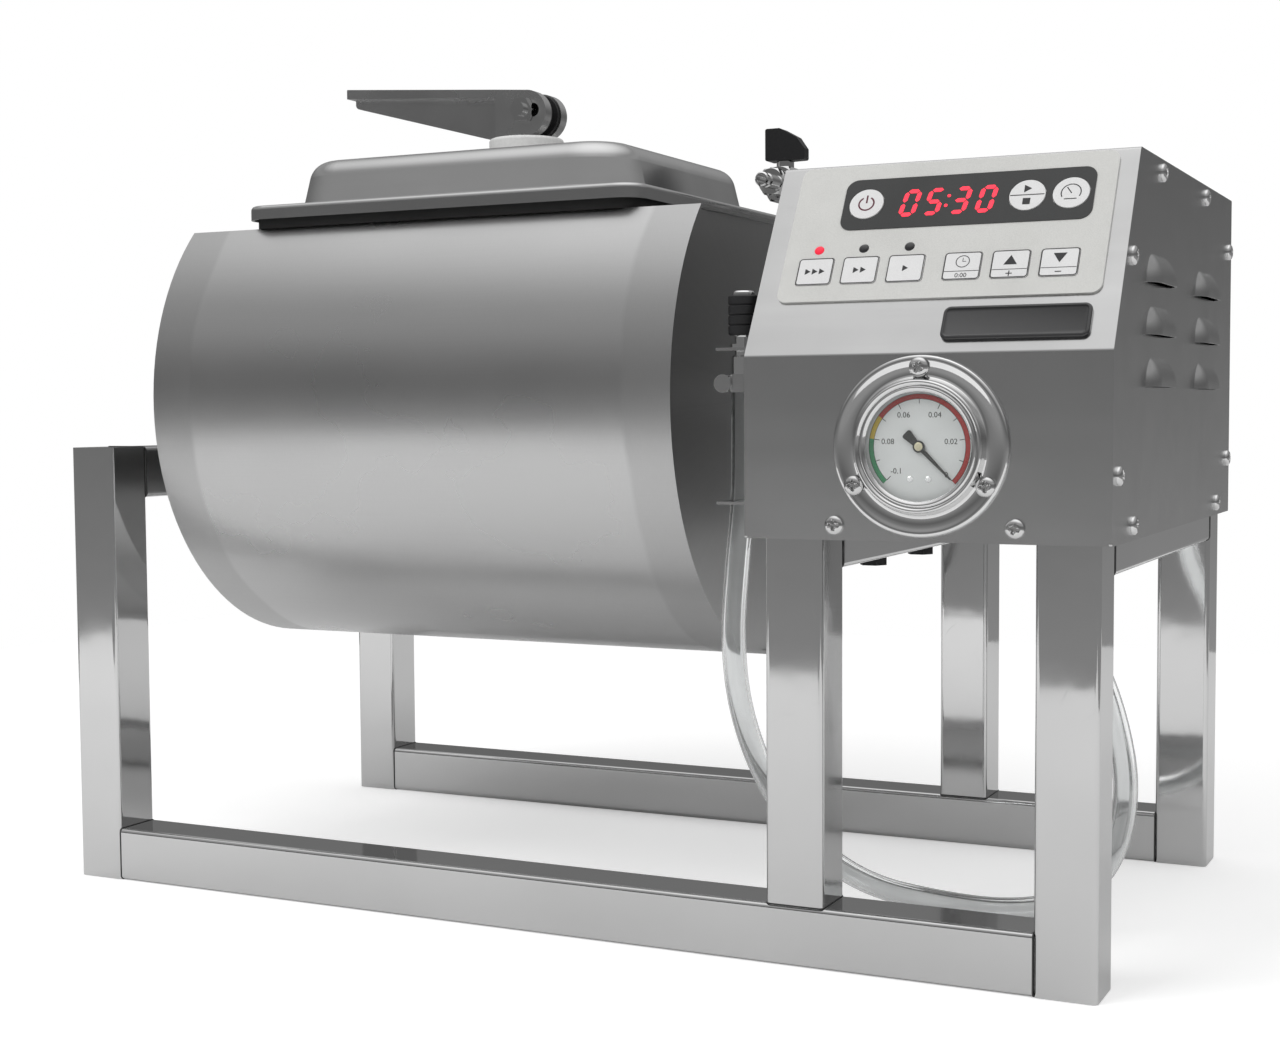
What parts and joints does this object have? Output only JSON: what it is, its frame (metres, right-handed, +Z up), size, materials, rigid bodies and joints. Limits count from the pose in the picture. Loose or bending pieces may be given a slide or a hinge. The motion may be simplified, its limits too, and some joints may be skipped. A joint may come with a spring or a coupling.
{
  "type": "meat vacuum tumbler",
  "caption": "Bench-top vacuum tumbler: a drum with a clamped lid turns on a tube frame beside a control box with pump, gauge and keypad.",
  "frame": {"origin": "on the table under the middle of the machine, frame and gauge and gland included", "axes": "+X along the drum towards the control box, +Y from the front (gauge side) to the back, +Z up"},
  "size_m": [0.6108, 0.3508, 0.4743],
  "materials": {
    "polished_tube": "mirror-polished stainless square tube with fine weld lines",
    "drum_steel": "stainless sheet brushed round the drum",
    "inner_steel": "plain stainless",
    "lid_steel": "pressed stainless, satin with polished edges",
    "panel_steel": "brushed stainless sheet",
    "bearing_iron": "painted cast housing",
    "bearing_steel": "ground bearing steel",
    "black_bolt": "blackened bolts",
    "bright_screw": "bright plated screws and bolts",
    "chrome": "chrome plate",
    "gauge_case": "black painted case",
    "dial_white": "white printed dial",
    "needle_black": "matt black needle",
    "lens_glass": "clear flat glass",
    "keypad_grey": "light grey printed polyester",
    "key_face": "embossed key faces",
    "window_black": "black tinted display window",
    "light_red": "small coloured lights",
    "gearbox_aluminium": "cast aluminium",
    "motor_paint": "dark painted motor",
    "board_green": "circuit board",
    "black_nylon": "black nylon",
    "white_nylon": "white nylon",
    "cast_lever": "satin cast aluminium",
    "black_rubber": "black food-grade rubber",
    "clear_hose": "clear flexible PVC"
  },
  "bodies": {
    "machine_frame": {"bottom_rails": "polished_tube", "left_posts": "polished_tube", "left_cross_member": "polished_tube", "box_posts": "polished_tube", "box_cross_members": "polished_tube", "box_wrap": "panel_steel", "box_floor": "panel_steel", "box_back_panel": "panel_steel", "box_left_panel": "panel_steel", "box_right_panel": "panel_steel", "hose_brackets": "panel_steel", "bearing_riser": "panel_steel", "hose_clamp": "panel_steel", "bearing_housings": "bearing_iron", "bearing_inserts": "bearing_steel", "bearing_bolts": "black_bolt", "panel_screws": "bright_screw", "gauge_flange": "chrome", "coupler_body": "chrome", "pump_barb": "chrome", "gauge_case": "gauge_case", "gauge_dial": "dial_white", "gauge_lens": "lens_glass", "keypad_overlay": "keypad_grey", "display_window": "window_black", "badge_plate": "window_black", "speed_lights": "light_red", "gearbox": "gearbox_aluminium", "drive_motor": "motor_paint", "vacuum_pump": "motor_paint", "control_board": "board_green", "cable_gland": "black_nylon", "vacuum_hose": "clear_hose"},
    "drum": {"drum_shell": "drum_steel", "drum_ends": "drum_steel", "drum_baffles": "inner_steel", "drum_shafts": "inner_steel", "valve_body": "chrome", "valve_plug": "chrome"},
    "lid": {"lid": "lid_steel", "lid_gasket": "black_rubber"},
    "clamp": {"clamp_stem": "inner_steel", "clamp_bar": "inner_steel", "pressure_pad": "white_nylon", "pivot_bolt": "bright_screw"},
    "lever": {"clamp_lever": "cast_lever", "cam_spacers": "black_nylon"},
    "valve_handle": {"valve_handle": "black_nylon"},
    "gauge_needle": {"gauge_needle": "needle_black"},
    "coupler_sleeve": {"coupler_sleeve": "black_nylon"},
    "key_power": {"key_power": "key_face"},
    "key_start": {"key_start": "key_face"},
    "key_vacuum": {"key_vacuum": "key_face"},
    "key_fast": {"key_fast": "key_face"},
    "key_medium": {"key_medium": "key_face"},
    "key_slow": {"key_slow": "key_face"},
    "key_clock": {"key_clock": "key_face"},
    "key_up": {"key_up": "key_face"},
    "key_down": {"key_down": "key_face"}
  },
  "joints": [
    {"name": "drum_spin", "type": "hinge", "parent": "machine_frame", "child": "drum", "pos_m": [-0.0899, -0.00655, 0.279], "axis": [1, 0, 0], "continuous": true},
    {"name": "lid_lift", "type": "slide", "parent": "drum", "child": "lid", "axis": [0, 0, 1], "range_m": [0, 0.1]},
    {"name": "clamp_turn", "type": "hinge", "parent": "lid", "child": "clamp", "pos_m": [-0.0879, -0.00655, 0.42], "axis": [0, 0, 1], "range_deg": [0, 90]},
    {"name": "lever_lift", "type": "hinge", "parent": "clamp", "child": "lever", "pos_m": [-0.0814, -0.00655, 0.4515], "axis": [0, 1, 0], "range_deg": [0, 110]},
    {"name": "valve_turn", "type": "hinge", "parent": "drum", "child": "valve_handle", "pos_m": [0.0601, 0.04345, 0.4055], "axis": [0, 0, 1], "range_deg": [0, 90]},
    {"name": "needle_sweep", "type": "hinge", "parent": "machine_frame", "child": "gauge_needle", "pos_m": [0.2109, -0.16855, 0.2547], "axis": [0, -1, 0], "range_deg": [0, 270], "stiffness_Nm_per_rad": 0.002},
    {"name": "sleeve_pull", "type": "slide", "parent": "machine_frame", "child": "coupler_sleeve", "axis": [0, 0, -1], "range_m": [0, 0.004], "stiffness_N_per_m": 1000},
    {"name": "key_power_press", "type": "slide", "parent": "machine_frame", "child": "key_power", "axis": [0, 0.8618, -0.5072], "range_m": [0, 0.0005], "stiffness_N_per_m": 1500},
    {"name": "key_start_press", "type": "slide", "parent": "machine_frame", "child": "key_start", "axis": [0, 0.8618, -0.5072], "range_m": [0, 0.0005], "stiffness_N_per_m": 1500},
    {"name": "key_vacuum_press", "type": "slide", "parent": "machine_frame", "child": "key_vacuum", "axis": [0, 0.8618, -0.5072], "range_m": [0, 0.0005], "stiffness_N_per_m": 1500},
    {"name": "key_fast_press", "type": "slide", "parent": "machine_frame", "child": "key_fast", "axis": [0, 0.8618, -0.5072], "range_m": [0, 0.0005], "stiffness_N_per_m": 1500},
    {"name": "key_medium_press", "type": "slide", "parent": "machine_frame", "child": "key_medium", "axis": [0, 0.8618, -0.5072], "range_m": [0, 0.0005], "stiffness_N_per_m": 1500},
    {"name": "key_slow_press", "type": "slide", "parent": "machine_frame", "child": "key_slow", "axis": [0, 0.8618, -0.5072], "range_m": [0, 0.0005], "stiffness_N_per_m": 1500},
    {"name": "key_clock_press", "type": "slide", "parent": "machine_frame", "child": "key_clock", "axis": [0, 0.8618, -0.5072], "range_m": [0, 0.0005], "stiffness_N_per_m": 1500},
    {"name": "key_up_press", "type": "slide", "parent": "machine_frame", "child": "key_up", "axis": [0, 0.8618, -0.5072], "range_m": [0, 0.0005], "stiffness_N_per_m": 1500},
    {"name": "key_down_press", "type": "slide", "parent": "machine_frame", "child": "key_down", "axis": [0, 0.8618, -0.5072], "range_m": [0, 0.0005], "stiffness_N_per_m": 1500}
  ]
}
